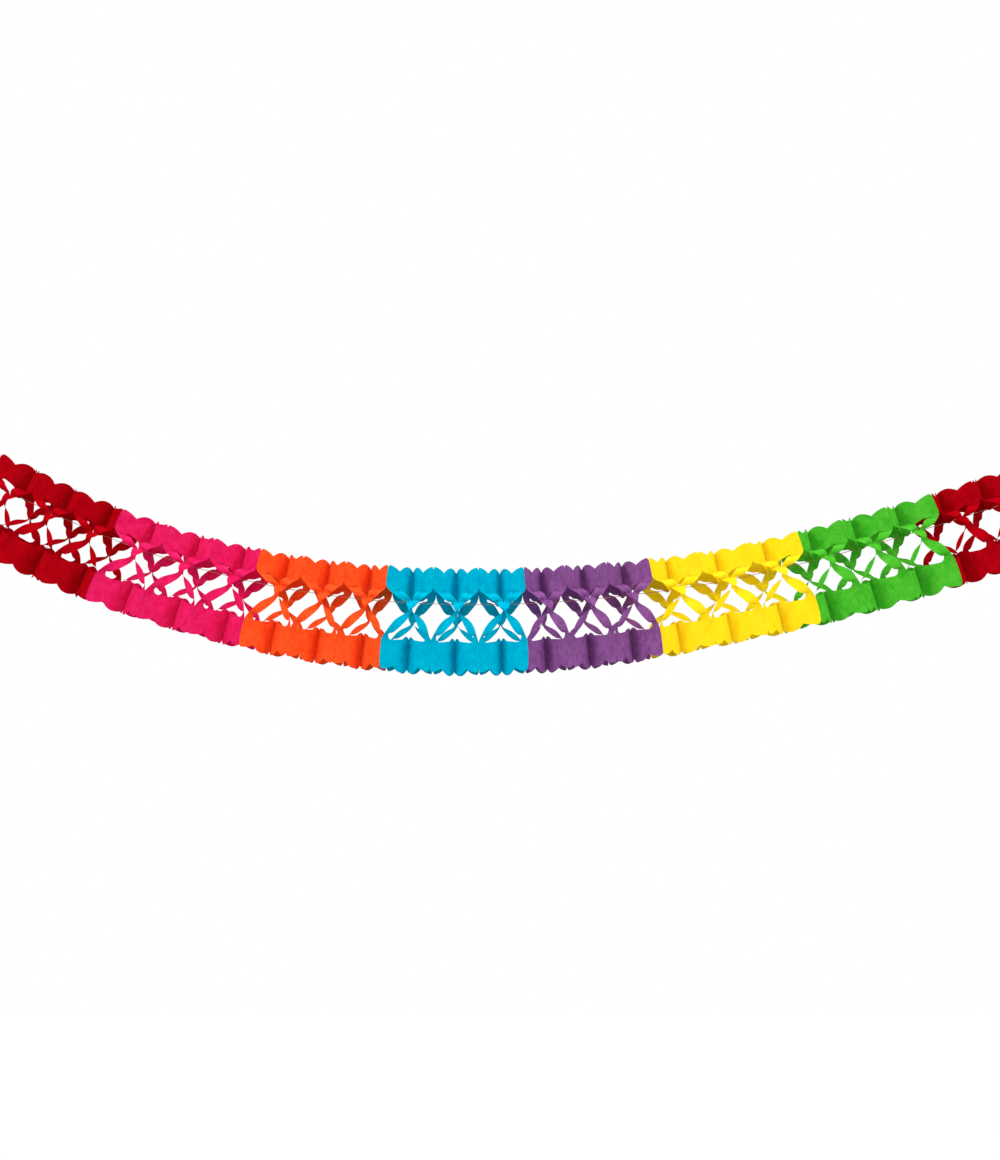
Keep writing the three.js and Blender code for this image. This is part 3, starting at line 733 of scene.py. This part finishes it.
def add_sheets():
    """All sheets from one form, mirrored by turns, drawn out to the colour's pitch and hung."""
    whole, faces, pattern, crease, area = whole_sheet()
    papers = {shade: tissue(f"{shade}_paper", *tints) for shade, tints in TINTS.items()}
    share = np.clip(whole[:, 0] / HALF_PITCH, 0, 1)
    s, count = START, 0
    for name, pitch, _ in SECTIONS:
        shade = name.split("_")[-1]
        for number in range(2 * REPEATS):
            middle = s + pitch * (number // 2 + 0.5)
            sign = 1 if number % 2 else -1
            along = middle + sign * (GLUE_CLEAR + (pitch / 2 - 2 * GLUE_CLEAR) * share)
            points = in_frame(hang(along, whole[:, 1], whole[:, 2], middle, pitch))
            # the third number gives each sheet its own grain
            cut = np.column_stack([pattern / 1000, np.full(len(pattern), 0.37 * count)])
            turned = (faces if sign > 0 else faces[:, ::-1]).tolist()
            node = f"{name}_sheet_{number + 1}"
            piece = add_object(f"{node}_tissue", points, turned, papers[shade], "cut", cut)
            sharpen(piece.data, crease)
            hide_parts(node)
            count += 1
        s += pitch * REPEATS


def looked_at(n):
    """1 for rays that are to meet the white background, 0 for the light that falls on things."""
    path = n.add("ShaderNodeLightPath")
    share = path.outputs["Is Camera Ray"]
    for kind in ("Is Glossy Ray", "Is Transmission Ray"):
        most = n.add("ShaderNodeMath", {0: share, 1: path.outputs[kind]}, operation="MAXIMUM")
        share = most.outputs[0]
    return share


def add_light():
    """Light from all round, and three soft lamps in front."""
    scene = bpy.context.scene
    scene.world = bpy.data.worlds.new("world")
    n = Nodes(scene.world)
    around = n.add("ShaderNodeBackground", {"Color": WHITE, "Strength": 0.5})
    backdrop = n.add("ShaderNodeBackground", {"Color": WHITE, "Strength": 1.0})
    mix = n.add(
        "ShaderNodeMixShader",
        {0: looked_at(n), 1: around.outputs[0], 2: backdrop.outputs[0]},
    )
    n.add("ShaderNodeOutputWorld", {"Surface": mix.outputs[0]})
    middle = (CAD_BOX[0][0] + CAD_BOX[1][0]) / 2
    aim = Vector((middle, 0, -0.2))
    # name, metres to the right of the middle, along y and up, and watts
    softboxes = (
        ("left_softbox", -1.4, -1.65, 0.3, 21.0),
        ("front_softbox", 0.0, -2.0, 0.1, 17.0),
        ("right_softbox", 1.4, -1.65, 0.3, 21.0),
    )
    for name, across, ahead, up, energy in softboxes:
        lamp = bpy.data.lights.new(name, "AREA")
        lamp.shape, lamp.size, lamp.energy = "DISK", 0.6, energy
        softbox = bpy.data.objects.new(name, lamp)
        softbox.location = (middle + across, ahead, up)
        softbox.rotation_euler = (aim - softbox.location).to_track_quat("-Z", "Y").to_euler()
        scene.collection.objects.link(softbox)
    scene.view_settings.view_transform = "Standard"


def add_floor():
    """A plain pale floor, well below the hanging garland."""
    half, level = 6.0, -2.3
    corners = [(x * half, y * half, level) for x, y in ((-1, -1), (1, -1), (1, 1), (-1, 1))]
    mesh = bpy.data.meshes.new("floor")
    mesh.from_pydata(corners, [], [(0, 1, 2, 3)])
    material = bpy.data.materials.new("floor")
    n = Nodes(material)
    pale = n.add("ShaderNodeBsdfDiffuse", {"Color": (0.8, 0.8, 0.8, 1.0)})
    glow = n.add("ShaderNodeEmission", {"Color": WHITE, "Strength": 0.6})
    lit = n.add("ShaderNodeAddShader", {0: pale.outputs[0], 1: glow.outputs[0]})
    seen = n.add("ShaderNodeMixShader", {0: looked_at(n), 1: pale.outputs[0], 2: lit.outputs[0]})
    n.add("ShaderNodeOutputMaterial", {"Surface": seen.outputs[0]})
    mesh.materials.append(material)
    floor = bpy.data.objects.new("floor", mesh)
    bpy.context.scene.collection.objects.link(floor)


add_camera()
add_floor()
THREAD = add_thread()
add_sheets()
add_light()
